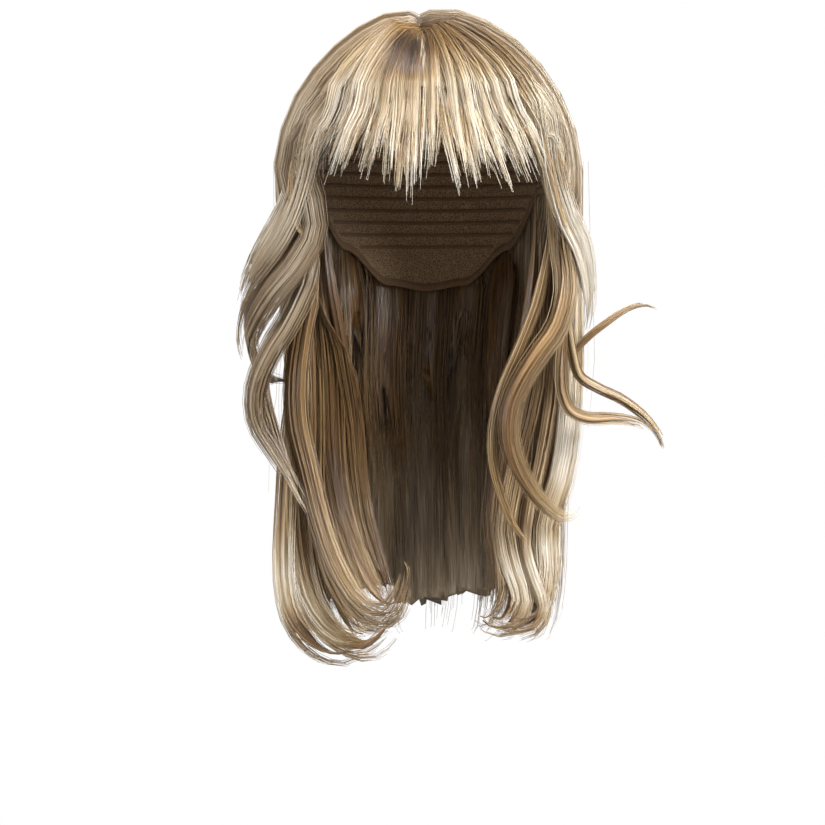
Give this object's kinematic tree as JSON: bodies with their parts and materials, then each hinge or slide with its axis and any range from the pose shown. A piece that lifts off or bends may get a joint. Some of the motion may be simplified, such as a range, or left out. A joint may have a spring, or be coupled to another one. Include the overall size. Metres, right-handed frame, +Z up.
{
  "type": "feathered wig",
  "caption": "Long layered wig of blonde false hair on a net cap, with a short parting, a thin fringe and feathered locks that curl up at the ends.",
  "frame": {"origin": "inside top of the cap, where it sits on the crown of the head", "axes": "+Z up as worn, -Y towards the face, +X to the right seen from the front"},
  "size_m": [0.2518, 0.2213, 0.3844],
  "materials": {
    "cap_net": "matt",
    "hair_top": "silky",
    "hair_fringe": "silky",
    "hair_length": "silky",
    "hair_under": "silky"
  },
  "bodies": {
    "root": {"cap": "cap_net", "crown_hair": "hair_top", "fringe": "hair_fringe", "nape_hair": "hair_under", "back_length": "hair_length", "side_length_left": "hair_length", "side_length_right": "hair_length", "wing_left_upper": "hair_length", "wing_left_middle": "hair_length", "wing_left_lower": "hair_length", "front_lock_left": "hair_length", "front_lock_right": "hair_length", "side_lock_right": "hair_length", "flick_right_lower": "hair_length", "flick_right_middle": "hair_length", "flick_right_upper": "hair_length", "temple_lock_left": "hair_fringe", "temple_lock_right": "hair_fringe"}
  },
  "joints": []
}
